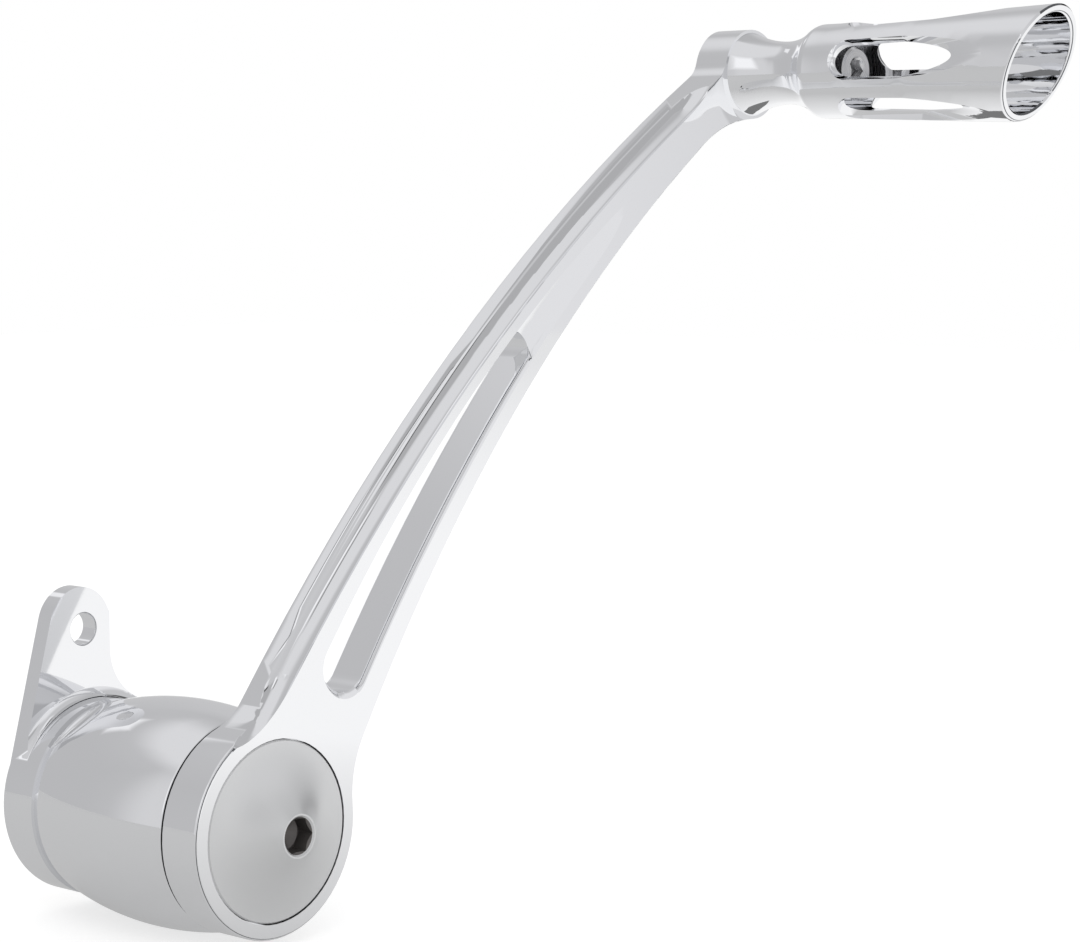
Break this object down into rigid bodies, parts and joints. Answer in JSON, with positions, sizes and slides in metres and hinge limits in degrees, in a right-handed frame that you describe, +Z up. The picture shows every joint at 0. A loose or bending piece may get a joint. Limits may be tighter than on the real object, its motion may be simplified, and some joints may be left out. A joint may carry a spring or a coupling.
{
  "type": "rear brake pedal",
  "caption": "Chromed billet rear brake pedal for a motorbike: curved slotted arm, bulged pivot hub with rod ear, satin cap and a slotted hollow toe peg.",
  "frame": {"origin": "on the pivot axis, in the rear end of the pivot shaft, where it is bolted to the frame", "axes": "+X to the front of the bike, +Z up, +Y along the pivot axis towards the bike; the rider's foot is on the -Y side"},
  "size_m": [0.2316, 0.1741, 0.23],
  "materials": {
    "chrome": "polished",
    "satin_metal": "satin",
    "steel": "satin",
    "bronze": "satin",
    "seal_rubber": "matte"
  },
  "bodies": {
    "pivot": {"pivot_shaft": "steel", "pivot_cap": "satin_metal", "thrust_washer_outer": "bronze", "thrust_washer_inner": "bronze"},
    "pedal": {"brake_arm": "chrome", "hub": "chrome", "toe_peg": "chrome", "peg_screw": "steel", "peg_washer": "steel", "bush_outer": "bronze", "bush_inner": "bronze", "seal_outer": "seal_rubber", "seal_inner": "seal_rubber", "arm_screws": "steel", "dowel_pins": "steel"}
  },
  "joints": [
    {"name": "pedal_swing", "type": "hinge", "parent": "pivot", "child": "pedal", "pos_m": [0, 0, 0], "axis": [0, 1, 0], "range_deg": [0, 15]}
  ]
}
